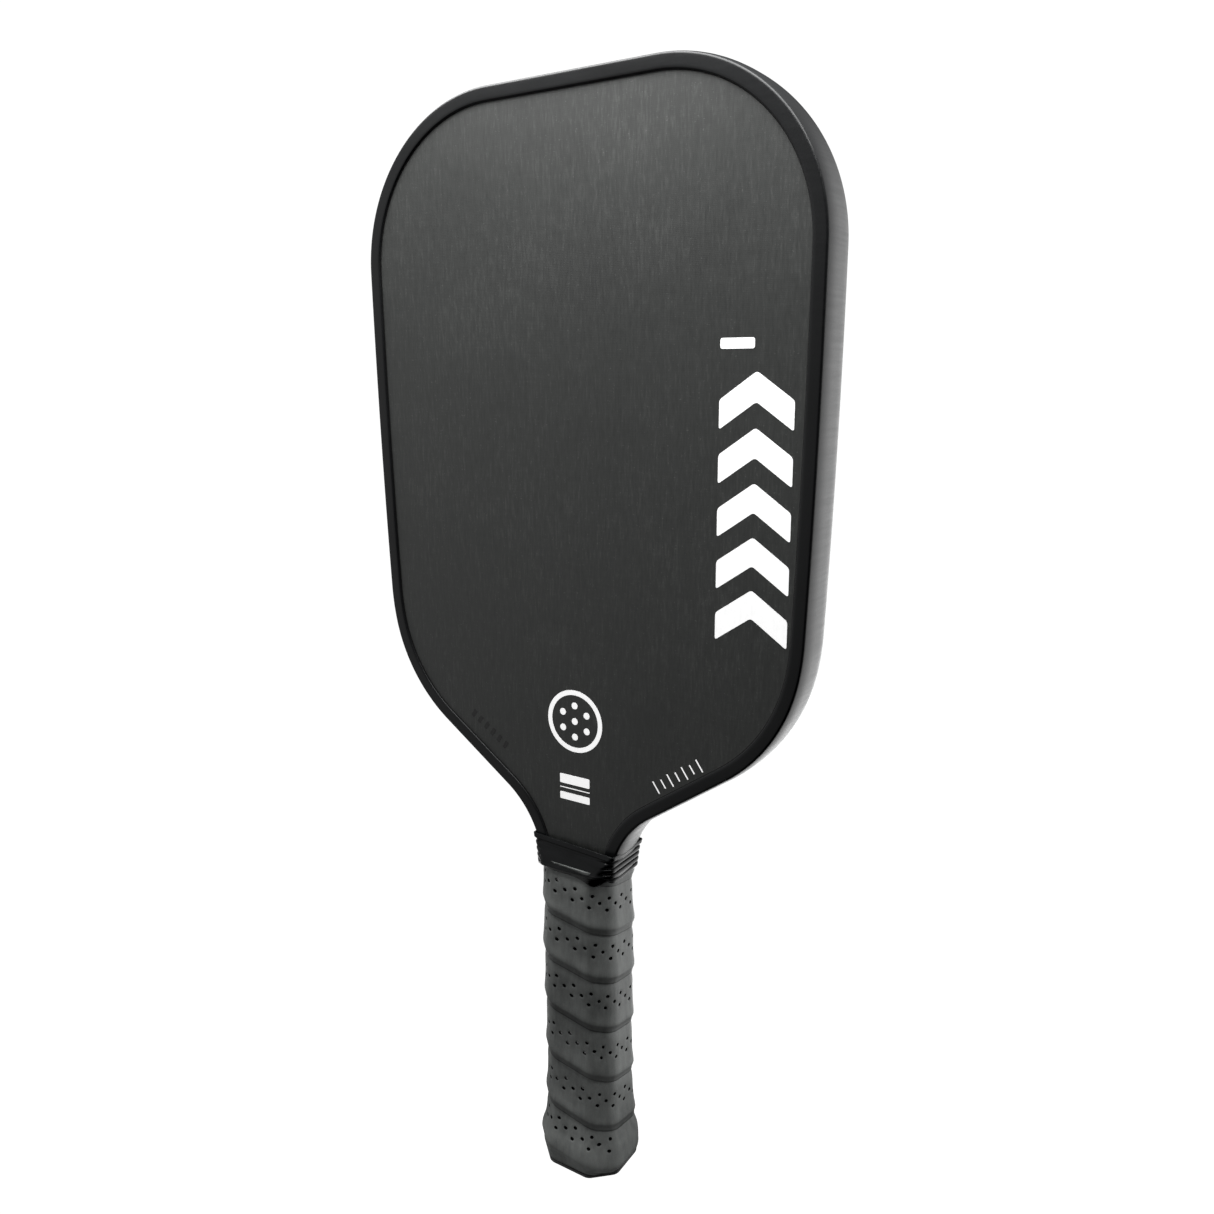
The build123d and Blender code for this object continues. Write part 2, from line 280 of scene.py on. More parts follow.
def outline_points(step):
    """Points of the right half of the guard's outline, with their outward directions."""
    x, z, heading = 0.0, LENGTH, 0.0
    points, outward = [(x, z)], [(0.0, 1.0)]
    for kind, size, *turn in OUTLINE:
        side = 1 if size > 0 else -1
        total = radians(turn[0]) if turn else 0.0
        length = abs(size) * total if turn else size
        count = max(2, ceil(length / step))
        x0, z0, h0 = x, z, heading
        for k in range(1, count + 1):
            if turn:
                heading = h0 + side * total * k / count
                x = x0 + size * (sin(heading) - sin(h0))
                z = z0 - size * (cos(h0) - cos(heading))
            else:
                x = x0 + cos(heading) * length * k / count
                z = z0 - sin(heading) * length * k / count
            points.append((x, z))
            outward.append((sin(heading), cos(heading)))
    points, outward = np.array(points), np.array(outward)
    order = np.arange(len(points))
    end = order[-1]
    if points[-1, 1] < GUARD_END_Z:
        end = float(np.interp(-GUARD_END_Z, -points[-8:, 1], order[-8:]))
    keep = order[order < end - 0.2]
    at = np.append(keep, end)
    both = np.concatenate([points, outward], axis=1)
    both = np.stack([np.interp(at, order, both[:, k]) for k in range(4)], axis=1)
    return both[:, :2], both[:, 2:]


def whole_outline(step):
    """The outline from the left end of the guard over the top to the right end."""
    points, outward = outline_points(step)
    flip = np.array([-1.0, 1.0])
    points = np.concatenate([(points * flip)[:0:-1], points])
    outward = np.concatenate([(outward * flip)[:0:-1], outward])
    return points, outward / np.linalg.norm(outward, axis=1, keepdims=True)


def sweep_along_outline(name, profile, material, step, sharp):
    """A closed profile of (distance in from the outline, y) carried along the guard's outline."""
    points, outward = whole_outline(step)
    profile = np.array(profile)
    rings = []
    for point, out in zip(points, outward):
        x = point[0] - out[0] * profile[:, 0]
        z = point[1] - out[1] * profile[:, 0]
        rings.append(np.stack([x, profile[:, 1], z], axis=1))
    count = len(profile)
    faces = grid_faces(len(rings), count, closed_columns=True)
    faces.append(tuple(reversed(range(count))))
    last = (len(rings) - 1) * count
    faces.append(tuple(range(last, last + count)))
    return new_mesh(name, np.concatenate(rings), faces, material, sharp)


# --- materials --------------------------------------------------------------------------------

class Shader:
    """Small helper that builds one Principled material node by node."""

    def __init__(self, name, **sockets):
        self.material = bpy.data.materials.new(name)
        self.material.use_nodes = True
        self.tree = self.material.node_tree
        self.main = self.tree.nodes["Principled BSDF"]
        self.place = self.tree.nodes.new("ShaderNodeTexCoord").outputs["Object"]
        for socket, value in sockets.items():
            self.main.inputs[socket.replace("_", " ")].default_value = value

    def put(self, target, source):
        """Sets a socket to a number or colour, or links it to another socket."""
        if isinstance(source, bpy.types.NodeSocket):
            self.tree.links.new(source, target)
        else:
            target.default_value = source

    def stretched(self, scale):
        """The object's own coordinates in metres, times a scale along each axis."""
        node = self.tree.nodes.new("ShaderNodeMapping")
        self.put(node.inputs["Vector"], self.place)
        node.inputs["Scale"].default_value = scale
        return node.outputs["Vector"]

    def noise(self, scale, detail=2.0, rough=0.5, warp=0.0):
        scale = scale if isinstance(scale, tuple) else (scale, scale, scale)
        node = self.tree.nodes.new("ShaderNodeTexNoise")
        self.put(node.inputs["Vector"], self.stretched(scale))
        node.inputs["Scale"].default_value = 1.0
        node.inputs["Detail"].default_value = detail
        node.inputs["Roughness"].default_value = rough
        node.inputs["Distortion"].default_value = warp
        return node.outputs["Fac"]

    def cells(self, scale):
        node = self.tree.nodes.new("ShaderNodeTexVoronoi")
        self.put(node.inputs["Vector"], self.stretched((scale, scale, scale)))
        node.inputs["Scale"].default_value = 1.0
        return node.outputs["Distance"]

    def math(self, operation, first, second=0.0, third=0.0):
        node = self.tree.nodes.new("ShaderNodeMath")
        node.operation = operation
        for socket, value in zip(node.inputs, (first, second, third)):
            self.put(socket, value)
        return node.outputs[0]

    def span(self, source, low, high, to_low, to_high):
        """Maps low..high of a value to another range, held at its ends."""
        node = self.tree.nodes.new("ShaderNodeMapRange")
        for socket, value in zip(node.inputs, (source, low, high, to_low, to_high)):
            self.put(socket, value)
        return node.outputs["Result"]

    def ramp(self, source, *stops):
        """A colour ramp from stops of (position, grey or colour)."""
        node = self.tree.nodes.new("ShaderNodeValToRGB")
        self.put(node.inputs["Fac"], source)
        bar = node.color_ramp.elements
        while len(bar) < len(stops):
            bar.new(0.5)
        for stop, (position, colour) in zip(bar, stops):
            stop.position = position
            stop.color = (*colour, 1) if isinstance(colour, tuple) else (colour, colour, colour, 1)
        return node.outputs["Color"]

    def wave(self, scale, direction):
        node = self.tree.nodes.new("ShaderNodeTexWave")
        node.bands_direction = direction
        self.put(node.inputs["Vector"], self.place)
        node.inputs["Scale"].default_value = scale
        node.inputs["Distortion"].default_value = 0.0
        node.inputs["Detail"].default_value = 1.0
        return node.outputs["Fac"]

    def attribute(self, name):
        node = self.tree.nodes.new("ShaderNodeAttribute")
        node.attribute_name = name
        return node.outputs["Fac"]

    def scaled(self, colour, factor):
        """A colour times a factor."""
        node = self.tree.nodes.new("ShaderNodeVectorMath")
        node.operation = "SCALE"
        self.put(node.inputs[0], colour)
        self.put(node.inputs["Scale"], factor)
        return node.outputs["Vector"]

    def bump(self, height, distance, strength):
        node = self.tree.nodes.new("ShaderNodeBump")
        node.inputs["Strength"].default_value = strength
        node.inputs["Distance"].default_value = distance
        self.put(node.inputs["Height"], height)
        return node.outputs["Normal"]

    def finish(self, colour=None, roughness=None, normal=None):
        for name, source in (("Base Color", colour), ("Roughness", roughness), ("Normal", normal)):
            if source is not None:
                self.put(self.main.inputs[name], source)
        return self.material


def carbon_face():
    """Raw carbon: fine fibres up the face, a faint cross weave from the peel ply, and specks."""
    s = Shader("raw_carbon", Specular_IOR_Level=0.5)
    fibres = s.noise((1400, 300, 210), detail=4, rough=0.62)
    cross = s.noise((110, 300, 1300), detail=2)
    clouds = s.noise(22, detail=3, rough=0.55)
    specks = s.noise(1900, detail=0)
    weave_x = s.wave(560, "X")
    weave_z = s.wave(560, "Z")
    weave = s.math("MULTIPLY", weave_x, weave_z)
    grain = s.math("MULTIPLY_ADD", fibres, 0.66, s.math("MULTIPLY", cross, 0.12))
    grain = s.math("MULTIPLY_ADD", clouds, 0.25, grain)
    bright = s.span(specks, 0.76, 0.86, 0.0, 0.22)
    colour = s.ramp(
        s.math("ADD", grain, bright),
        (0.36, (0.019, 0.0205, 0.0193)),
        (0.56, (0.029, 0.0308, 0.0292)),
        (0.95, (0.085, 0.088, 0.084)),
    )
    rough = s.span(grain, 0.35, 0.7, 0.48, 0.60)
    height = s.math("MULTIPLY_ADD", weave, 0.35, s.math("MULTIPLY_ADD", cross, 0.25, fibres))
    return s.finish(colour, rough, s.bump(height, 0.00005, 0.5))


def moulded_guard():
    """Satin moulded edge plastic with a fine spark grain and light handling marks."""
    s = Shader("guard_plastic", Specular_IOR_Level=0.24)
    grain = s.noise(2600, detail=2, rough=0.6)
    clouds = s.noise(35, detail=3)
    scuffs = s.noise((60, 60, 900), detail=3)
    tone = s.math("MULTIPLY_ADD", grain, 0.35, s.math("MULTIPLY", clouds, 0.65))
    colour = s.ramp(tone, (0.3, (0.0026, 0.0029, 0.0032)), (0.7, (0.0060, 0.0065, 0.0071)))
    rough = s.span(s.math("MULTIPLY_ADD", scuffs, 0.5, s.math("MULTIPLY", grain, 0.5)), 0.3, 0.7, 0.33, 0.45)
    return s.finish(colour, rough, s.bump(grain, 0.00004, 0.5))


def grip_skin():
    """Matte polyurethane skin with a fine leather-like grain and darker handled patches. The strip's thinned
    lower edge carries a darker band of painted shade, with a darker line of painted shadow right at its edge."""
    s = Shader("grip_skin", Specular_IOR_Level=0.24)
    pores = s.cells(1700)
    grain = s.noise(2400, detail=3, rough=0.6)
    clouds = s.noise((90, 90, 60), detail=5, rough=0.62)
    streaks = s.noise((420, 420, 70), detail=3, rough=0.6)
    wide = s.noise(19, detail=2)
    tone = s.math("MULTIPLY_ADD", clouds, 0.42, s.math("MULTIPLY", wide, 0.26))
    tone = s.math("MULTIPLY_ADD", streaks, 0.22, tone)
    tone = s.math("MULTIPLY_ADD", grain, 0.10, tone)
    colour = s.ramp(tone, (0.36, (0.069, 0.073, 0.071)), (0.64, (0.188, 0.197, 0.191)))
    across = s.math("MULTIPLY_ADD", clouds, 0.9, s.attribute("across"))
    # Painted shade: a darker band over the strip's thinned lower edge, and a darker line of painted shadow at
    # its very edge.
    skive_edge_shade = s.span(across, 3.2, 4.1, s.span(wide, 0.35, 0.62, 0.48, 0.78), 1.0)
    cut_line_shadow = s.span(across, 0.45, 1.1, 0.30, 1.0)
    colour = s.scaled(colour, s.math("MULTIPLY", skive_edge_shade, cut_line_shadow))
    rough = s.span(clouds, 0.3, 0.7, 0.52, 0.68)
    height = s.math("MULTIPLY_ADD", pores, 0.6, grain)
    return s.finish(colour, rough, s.bump(height, 0.00007, 0.5))


def grip_felt():
    """Dark felt that shows in the perforations."""
    s = Shader("grip_felt", Roughness=0.95, Specular_IOR_Level=0.1)
    fuzz = s.noise(5200, detail=3, rough=0.7)
    return s.finish(s.ramp(fuzz, (0.3, 0.0006), (0.7, 0.002)), None, s.bump(fuzz, 0.0001, 0.8))


def collar_rubber():
    """Glossy moulded rubber with faint flow marks and a little dust."""
    s = Shader("collar_rubber", Specular_IOR_Level=0.12)
    flow = s.noise((70, 70, 260), detail=3, warp=0.6)
    grain = s.noise(1600, detail=2)
    colour = s.ramp(flow, (0.3, (0.0022, 0.0024, 0.0026)), (0.72, (0.0058, 0.0062, 0.0066)))
    rough = s.span(s.math("MULTIPLY_ADD", grain, 0.4, s.math("MULTIPLY", flow, 0.6)), 0.3, 0.7, 0.13, 0.25)
    return s.finish(colour, rough, s.bump(s.math("MULTIPLY_ADD", grain, 0.3, flow), 0.00008, 0.4))


def cap_plastic():
    """Moulded butt cap: fine grain, and slightly worn in lighter patches."""
    s = Shader("cap_plastic", Specular_IOR_Level=0.5)
    grain = s.noise(2100, detail=2)
    rubs = s.noise((240, 900, 240), detail=4, rough=0.65)
    tone = s.math("MULTIPLY_ADD", rubs, 0.7, s.math("MULTIPLY", grain, 0.3))
    colour = s.ramp(tone, (0.35, (0.009, 0.009, 0.0095)), (0.75, (0.03, 0.03, 0.03)))
    return s.finish(colour, s.span(rubs, 0.3, 0.7, 0.28, 0.46), s.bump(grain, 0.00004, 0.5))


def tape_vinyl():
    """Thin glossy vinyl of the finishing tape, with faint stretch lines."""
    s = Shader("tape_vinyl", Specular_IOR_Level=0.5)
    lines = s.noise((60, 60, 1400), detail=2)
    return s.finish(s.ramp(lines, (0.3, 0.004), (0.7, 0.010)), s.span(lines, 0.3, 0.7, 0.2, 0.34),
                    s.bump(lines, 0.00004, 0.5))


def crease_shadow_bead():
    """A near-black bead of painted shade in the crease between the guard and the face, standing in for the
    crease's shadow.
    """
    s = Shader("crease_shadow_bead", Specular_IOR_Level=0.25)
    lumps = s.noise(900, detail=2)
    # Near-black colour: painted shadow of the crease between the guard's lip and the face.
    return s.finish(s.ramp(lumps, (0.3, 0.001), (0.7, 0.003)), s.span(lumps, 0.3, 0.7, 0.55, 0.8),
                    s.bump(lumps, 0.00005, 0.6))


def print_ink(name, low, high, rough, glow):
    """Screen-printed ink that shows the fibres underneath and wears a little thin. A bright white pigment
    also gets a little painted glow from emission, light that the lamps don't give it."""
    s = Shader(name, Specular_IOR_Level=0.4)
    fibres = s.noise((1500, 300, 90), detail=3, rough=0.6)
    wear = s.noise(420, detail=4, rough=0.7)
    tone = s.math("MULTIPLY_ADD", fibres, 0.5, s.math("MULTIPLY", wear, 0.5))
    colour = s.ramp(tone, (0.3, low), (0.5, high))
    # Emission in the ink's own colour: a painted glow that brightens the white ink.
    s.put(s.main.inputs["Emission Color"], colour)
    s.main.inputs["Emission Strength"].default_value = glow
    return s.finish(colour, s.span(wear, 0.3, 0.7, rough - 0.06, rough + 0.08), s.bump(fibres, 0.00004, 0.5))


def hidden_layer(name, low, high, rough, scale):
    """Plain mottled finish for the pieces sealed inside."""
    s = Shader(name)
    grain = s.noise(scale, detail=3, rough=0.6)
    colour = s.ramp(grain, (0.3, low), (0.7, high))
    return s.finish(colour, s.span(grain, 0.3, 0.7, rough - 0.08, rough + 0.08), s.bump(grain, 0.00005, 0.5))


def staple_wire():
    s = Shader("staple_wire", Metallic=1.0)
    drawn = s.noise((90, 1500, 1500), detail=2)
    return s.finish(s.ramp(drawn, (0.3, 0.42), (0.7, 0.62)), s.span(drawn, 0.3, 0.7, 0.22, 0.4),
                    s.bump(drawn, 0.00003, 0.4))


# --- pieces -----------------------------------------------------------------------------------

def guard_profile():
    """The channel's section, front half and its mirror image, as (distance in, y) points."""
    half = FACE_HALF + LIP_RISE
    front = [(LIP_REACH, FACE_HALF), (LIP_REACH, 8.42)]
    front += [(4.92 + 0.48 * cos(t), 8.42 + 0.5 * sin(t)) for t in np.radians([20, 40, 60, 80])]
    front += [(4.3, half - 0.01), (3.2, half), (2.0, half)]
    x, y = EDGE_CENTRE
    round_edge = np.radians(np.linspace(90, 162, 9))
    front += [(x + EDGE_RADIUS * cos(t), y + EDGE_RADIUS * sin(t)) for t in round_edge]
    front += [(0.9 * (y / 8.3) ** 3 - SIDE_PROUD, y) for y in (7.7, 7.0, 6.2, 5.3, 4.3, 3.2, 1.8)]
    back = [(d, -y) for d, y in reversed(front)]
    inside = [(GUARD_WALL, -FACE_HALF), (GUARD_WALL, FACE_HALF)]
    return front + [(-SIDE_PROUD, 0.0)] + back + inside


def build_guard(material):
    guard = sweep_along_outline("edge_guard_channel", guard_profile(), material, GUARD_STEP, 50)
    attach(guard, "root")
    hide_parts("edge_guard")


def build_crease_shadow_beads(material):
    """A thin near-black bead of painted crease shadow beside the guard's lip, on the front and the rear face.
    """
    for name, side in (("front_guard_crease_shadow", -1), ("rear_guard_crease_shadow", 1)):
        base = FACE_HALF * side
        section = [(5.3, 0.0), (5.3, 0.16), (5.5, 0.14), (5.66, 0.07), (5.74, 0.012), (5.76, 0.0)]
        profile = [(d, base + side * y) for d, y in section]
        if side > 0:
            profile.reverse()
        crease_shadow_piece = sweep_along_outline(name, profile, material, GUARD_STEP * 2, 60)
        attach(crease_shadow_piece, "root")


def strip_frame():
    """Cosine and sine of the winding's slope, and the height of the lower edge where u is 0."""
    slope = STRIP_PITCH / PERIMETER
    size = sqrt(1 + slope * slope)
    return 1 / size, slope / size, SEAM_Z + SEAM_U * slope


def strip_to_wall(s, t):
    """Way round and height on the grip of points (s along the strip, t across it)."""
    c, n, base = strip_frame()
    lift = curve_through(STRIP_STRAY, s)[:, 0]
    return s * c + t * n, base - s * n + t * c + lift


def strip_limits(t):
    """Where along the strip its two ends are cut level, for points across it."""
    c, n, base = strip_frame()
    top, bottom = STRIP_STRAY[0][1], STRIP_STRAY[-1][1]
    return (base + top + t * c - STRIP_TOP_Z) / n, (base + bottom + t * c - STRIP_BOTTOM_Z) / n


def strip_holes():
    """Centres of the perforations that lie well inside the strip."""
    centres = []
    for row, t in enumerate(HOLE_ROWS):
        low, high = strip_limits(t)
        phase = HOLE_START + (HOLE_STEP / 2 if row == 1 else 0)
        along = phase + HOLE_STEP * np.arange(ceil((low + TOP_MARGIN - phase) / HOLE_STEP), 100)
        along = along[along < min(high - BOTTOM_MARGIN, LAST_HOLE)]
        along = along + curve_through(STRIP_STRAY, along)[:, 1]
        for s in along.tolist():
            shift = noise.noise(Vector((s * 0.37, t, 3.1))) * 0.2
            centres.append((s + shift, t + noise.noise(Vector((s * 0.41, t, 8.7))) * 0.15))
    return centres


def strip_rows():
    """Distances across the strip at which its skin has points: close at the edges."""
    near = [0.0, 0.3, 0.7, 1.1, 1.6, 2.0, 2.35, 2.7, 3.05, 3.4, 3.9, 4.5, 5.2, 6.0]
    middle = list(np.arange(7.0, 17.9, 0.9))
    far = [18.6, 19.2, 19.8, 20.3, 20.8, 21.4, 22.4, 24.0, 25.6, STRIP_WIDTH]
    return near + middle + far


def flat_strip(holes, with_rims):
    """Points (s, t) and triangles of the flat strip, open at its holes, and each hole's points."""
    rows = strip_rows()
    points, edges = [], []

    def chain(new, closed):
        start = len(points)
        points.extend(new)
        edges.extend((start + k, start + k + 1) for k in range(len(new) - 1))
        if closed:
            edges.append((start + len(new) - 1, start))
        return list(range(start, len(points)))

    step = 1.3
    ends_low, ends_high = strip_limits(0.0), strip_limits(STRIP_WIDTH)
    lower = [(s, 0.0) for s in np.linspace(*ends_low, int((ends_low[1] - ends_low[0]) / step))]
    upper = [(s, STRIP_WIDTH) for s in np.linspace(*ends_high, int((ends_high[1] - ends_high[0]) / step))]
    across = np.linspace(0, STRIP_WIDTH, 90)[1:-1]
    right = [(strip_limits(t)[1], t) for t in across]
    left = [(strip_limits(t)[0], t) for t in across]
    border = chain(lower + right + upper[::-1] + left[::-1], True)
    rims = []
    if with_rims:
        for s, t in holes:
            turn = np.linspace(0, 2 * pi, HOLE_SIDES, endpoint=False)
            ring = [(s + HOLE_OVAL * HOLE_RADIUS * cos(w), t + HOLE_RADIUS * sin(w)) for w in turn]
            rims.append(chain(ring, True))
            long, short = HOLE_HALO * HOLE_OVAL * HOLE_RADIUS, HOLE_HALO * HOLE_RADIUS
            points.extend((s + long * cos(w), t + short * sin(w)) for w in turn)
    centres = np.array(holes)
    for row, t in enumerate(rows[1:-1]):
        low, high = strip_limits(t)
        inset = 0.5
        line = np.arange(low + inset + (row % 2) * step / 2, high - inset, step)
        if with_rims and HOLE_ROWS[0] - 2 < t < HOLE_ROWS[-1] + 2:
            gap = np.hypot(line[:, None] - centres[:, 0], t - centres[:, 1]).min(axis=1)
            line = line[gap > HOLE_CLEARANCE * HOLE_RADIUS]
        points.extend((s, t) for s in line)
    result = delaunay_2d_cdt([Vector(p) for p in points], edges, [], 0, 1e-7)
    flat = np.array([tuple(v) for v in result[0]])
    index = {old: new for new, olds in enumerate(result[3]) for old in olds}
    border = [index[k] for k in border]
    rims = [[index[k] for k in rim] for rim in rims]
    owner = np.full(len(flat), -1)
    for number, rim in enumerate(rims):
        owner[rim] = number
    triangles = np.array(result[2])
    owners = owner[triangles]
    inside_hole = (owners[:, 0] >= 0) & (owners[:, 0] == owners[:, 1]) & (owners[:, 0] == owners[:, 2])
    return flat, triangles[~inside_hole], border, rims


def strip_place(s, t, height):
    """Points of the wound strip, in millimetres, at a height over the handle's surface."""
    wander = np.array([noise.noise(Vector((float(x) * 0.028, 5.0, 0.0))) for x in s])
    t = t + 0.55 * wander * np.exp(-t / 3.0)
    u, z = strip_to_wall(s, t)
    z = np.clip(z, STRIP_BOTTOM_Z, STRIP_TOP_Z)
    sizes = curve_through(GRIP_ROWS, z) - STRIP_INSET
    flat, _ = section_points(u, sizes, np.full(len(u), GRIP_CORNER - STRIP_INSET), height)
    return np.stack([flat[:, 0], flat[:, 1], z], axis=1)


def skin_height(s, t):
    """Height of the strip's skin: its section, a soft unevenness, and the pulled-in bottom end."""
    ride = curve_through(STRIP_STRAY, s)[:, 0]
    ride_above = curve_through(STRIP_STRAY, s - PERIMETER)[:, 0]
    shifted = t - (ride_above - ride) * smoothstep(12.0, 18.0, t)
    height = curve_through(STRIP_SKIN, shifted)[:, 0]
    soft = np.array([noise.noise(Vector((float(x) * 0.09, float(y) * 0.16, 2.0))) for x, y in zip(s, t)])
    lumps = np.array([noise.noise(Vector((float(x) * 0.32, float(y) * 0.5, 7.0))) for x, y in zip(s, t)])
    height = height + (0.10 * soft + 0.03 * lumps) * smoothstep(1.0, 5.0, t)
    _, z = strip_to_wall(s, t)
    pulled = smoothstep(STRIP_BOTTOM_Z - 0.5, STRIP_BOTTOM_Z + 3.5, z)
    return height * (0.62 + 0.38 * pulled)


def build_grip(skin, felt):
    """The perforated strip, wound down the handle, as one closed mesh."""
    holes = strip_holes()
    flat, triangles, border, rims = flat_strip(holes, True)
    back_flat, back_triangles, back_border, _ = flat_strip(holes, False)
    s, t = flat.T
    top = skin_height(s, t)
    rim_points = np.array(rims)
    top[rim_points.ravel()] -= HOLE_DIMPLE
    points = [strip_place(s, t, top)]
    faces = [tuple(f) for f in triangles]
    finish = [0] * len(faces)

    start = len(flat)
    back_s, back_t = back_flat.T
    back = straight_through(STRIP_BACK, back_t)[:, 0]
    points.append(strip_place(back_s, back_t, back))
    faces += [tuple(int(v) + start for v in reversed(f)) for f in back_triangles]
    count = len(border)
    for k in range(count):
        after = (k + 1) % count
        faces.append((border[after], border[k], back_border[k] + start, back_border[after] + start))
    finish += [0] * (len(faces) - len(finish))
    start += len(back_flat)

    centres = np.array(holes)
    ring_s, ring_t = s[rim_points], t[rim_points]
    before = rim_points
    for size, depth in HOLE_RINGS:
        shrunk_s = centres[:, :1] + (ring_s - centres[:, :1]) * size
        shrunk_t = centres[:, 1:] + (ring_t - centres[:, 1:]) * size
        height = np.maximum(top[rim_points] - depth, HOLE_FLOOR)
        points.append(strip_place(shrunk_s.ravel(), shrunk_t.ravel(), height.ravel()))
        ring = start + np.arange(rim_points.size).reshape(rim_points.shape)
        start += rim_points.size
        for upper, lower in zip(before, ring):
            for k in range(HOLE_SIDES):
                after = (k + 1) % HOLE_SIDES
                faces.append((int(upper[k]), int(upper[after]), int(lower[after]), int(lower[k])))
                finish.append(1)
        before = ring
    for ring in before:
        faces.append(tuple(int(v) for v in ring))
        finish.append(1)

    grip = new_mesh("grip_strip", np.concatenate(points), faces, skin, 55)
    grip.data.materials.append(felt)
    grip.data.polygons.foreach_set("material_index", finish)
    # The across attribute places grip_skin's painted shade on the strip's lower edge. It is raised near the
    # butt so no painted shade falls there, and is 0 on the back.
    across = np.full(start, STRIP_WIDTH / 2)
    across[:len(flat)] = t + 6.0 * (1 - smoothstep(4.0, 11.0, strip_to_wall(s, t)[1]))
    across[len(flat):len(flat) + len(back_flat)] = 0.0
    grip.data.attributes.new("across", "FLOAT", "POINT").data.foreach_set("value", across)
    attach(grip, "root")
    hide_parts("grip_wrap")


def ring_mesh(name, rows, material, sharp, closed):
    """Rings round the handle. Each row is a full ring of points, and the first and last rows are
    joined when closed, or filled when not."""
    count = len(rows[0])
    faces = grid_faces(len(rows), count, closed_rows=closed, closed_columns=True)
    if not closed:
        faces.append(tuple(reversed(range(count))))
        faces.append(tuple(range((len(rows) - 1) * count, len(rows) * count)))
    return new_mesh(name, np.concatenate(rows), faces, material, sharp)


def ring_stations(flat_points, arc_points):
    """Ways round the handle: evenly spaced on each flat and, closer, on each corner's arc."""
    stations = []
    for k in range(16):
        count = flat_points if k % 2 else arc_points
        share = np.arange(count) / count
        stations.append(STRETCH_ENDS[k] + share * STRETCHES[k])
    return np.concatenate(stations)


def collar_outset(below_top, above_bottom, side):
    """How far the collar stands out at a distance from its upper and its lower edge. side is
    0 on the flat front and rear panels, and 1 on the ribbed narrow sides."""
    panel = 0.36 * (1 - smoothstep(1.55, 1.95, below_top))
    panel += 0.10 * (1 - smoothstep(2.6, 2.9, below_top))
    panel += 0.36 * (1 - smoothstep(0.55, 1.05, above_bottom))
    ribs = 0.55 * (1 - smoothstep(1.5, 2.1, below_top)) + 0.1
    for groove in COLLAR_GROOVES:
        ribs = ribs - GROOVE_DEPTH * np.exp(-(((below_top - groove) / GROOVE_WIDTH) ** 2))
        ribs = ribs + 0.16 * np.exp(-(((below_top - groove - 1.2) / 0.75) ** 2))
    return panel * (1 - side) + ribs * side


def build_collar(material):
    stations = ring_stations(14, 9)
    each = np.ones(len(stations))

    def plain(share):
        section = [(1 - share) * low + share * high for low, high in zip(COLLAR_LOW, COLLAR_HIGH)]
        sizes = np.outer(each, section)
        return sizes[:, :3], sizes[:, 3]

    low_points, _ = section_points(stations, *plain(0.0), each * 0)
    arch = COLLAR_ARCH * smoothstep(8.6, 13.8, np.abs(low_points[:, 1])) + COLLAR_LOW_TILT * low_points[:, 0]
    high_points, _ = section_points(stations, *plain(1.0), each * 0)
    low_z = COLLAR_LOW_Z + arch
    high_z = COLLAR_HIGH_Z + COLLAR_TILT * high_points[:, 0]
    tall = high_z - low_z

    def ring(below_top, inward):
        """A ring that lies a distance below the upper edge, or above the lower edge if negative."""
        share = 1 - below_top / tall if below_top >= 0 else -below_top / tall
        sizes = np.outer(1 - share, COLLAR_LOW) + np.outer(share, COLLAR_HIGH)
        flat, _ = section_points(stations, sizes[:, :3], sizes[:, 3], each * 0)
        side = smoothstep(13.0, 15.8, np.abs(flat[:, 0]) - 1.4 * share)
        outset = collar_outset((1 - share) * tall, share * tall, side) - inward
        flat, _ = section_points(stations, sizes[:, :3], sizes[:, 3], outset)
        turn = COLLAR_TWIST * np.clip(share, 0, 1)
        x = flat[:, 0] * np.cos(turn) - flat[:, 1] * np.sin(turn)
        y = flat[:, 0] * np.sin(turn) + flat[:, 1] * np.cos(turn)
        return np.column_stack([x, y, low_z + share * tall])

    def lifted(below_top, inward, rise):
        points = ring(below_top, inward)
        points[:, 2] += rise
        return points

    low_edge = ((0.62, 0.05), (0.34, -0.1), (0.12, -0.06), (0.02, 0.08))
    high_edge = ((0.42, 0.0, 0.0), (0.3, 0.04, 0.08), (0.16, 0.14, 0.1), (0.08, 0.28, 0.1),
                 (0.06, 0.5, 0.08), (0.1, 0.72, 0.0), (0.3, 0.84, 0.0))
    rows = [ring(-0.6, 0.9)] + [lifted(-0.01, inward, rise) for inward, rise in low_edge]
    rows += [ring(-d, 0.0) for d in np.arange(0.2, 1.5, 0.16)]
    rows += [ring(d, 0.0) for d in np.arange(9.3, 0.5, -0.16)]
    rows += [lifted(*place) for place in high_edge]
    rows += [ring(2.0, COLLAR_WALL), ring(5.5, COLLAR_WALL)]
    collar = ring_mesh("rubber_collar_sleeve", rows, material, 55, closed=True)
    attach(collar, "root")
    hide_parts("rubber_collar")


def wrapped_height(u, z):
    """Height of the outermost turn's skin where a point lies on the wound handle."""
    c, n, base = strip_frame()
    below = np.mod(z - (base + STRIP_STRAY[0][1] - u * n / c), STRIP_PITCH)
    return curve_through(STRIP_SKIN, below * c)[:, 0]


